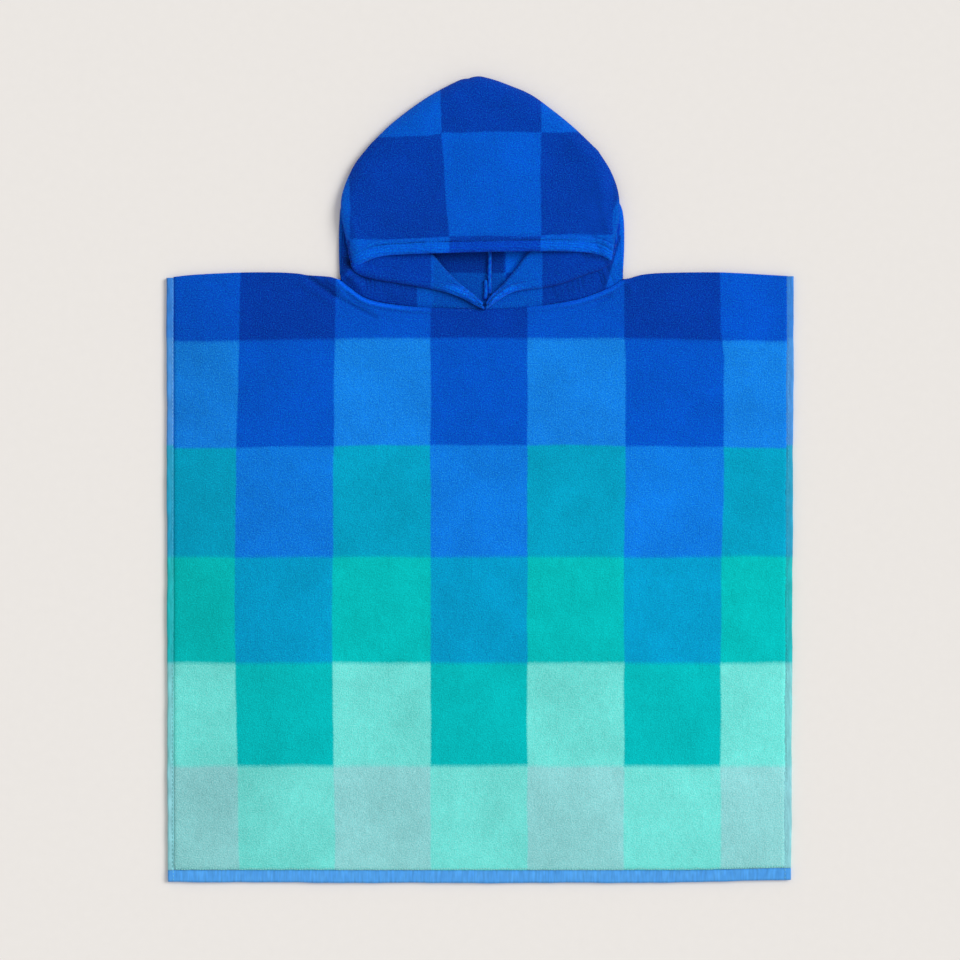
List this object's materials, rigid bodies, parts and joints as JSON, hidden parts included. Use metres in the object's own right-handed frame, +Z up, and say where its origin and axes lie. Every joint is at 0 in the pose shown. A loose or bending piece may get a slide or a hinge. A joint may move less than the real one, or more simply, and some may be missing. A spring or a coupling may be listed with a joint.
{
  "type": "hooded bath poncho",
  "caption": "Child's hooded bath poncho in block check terry towelling, laid flat on its back with the hood folded over.",
  "frame": {"origin": "centre of the bounding box on the surface that the garment lies on", "axes": "+X to the right of the laid out garment seen from above, +Y from the bottom hem to the hood's peak, +Z up from the surface"},
  "size_m": [0.625, 0.8064, 0.021],
  "materials": {
    "terry_body": "cotton terry pile in an ombre block check from navy and royal blue at the shoulders to mint at the hem",
    "terry_hood": "cotton terry pile in a block check of navy and royal blue",
    "side_hem": "flat woven cotton selvedge, stitched, its colour following the rows of the check",
    "hem_band": "flat woven cotton hem band in cornflower blue, stitched"
  },
  "bodies": {
    "root": {"back_panel": "terry_body", "front_panel": "terry_body", "back_left_side_hem": "side_hem", "back_right_side_hem": "side_hem", "front_left_side_hem": "side_hem", "front_right_side_hem": "side_hem", "back_hem_band": "hem_band", "front_hem_band": "hem_band", "hood": "terry_hood", "hood_left_cheek": "terry_hood", "hood_right_cheek": "terry_hood", "hood_back_seam": "terry_hood"}
  },
  "joints": []
}
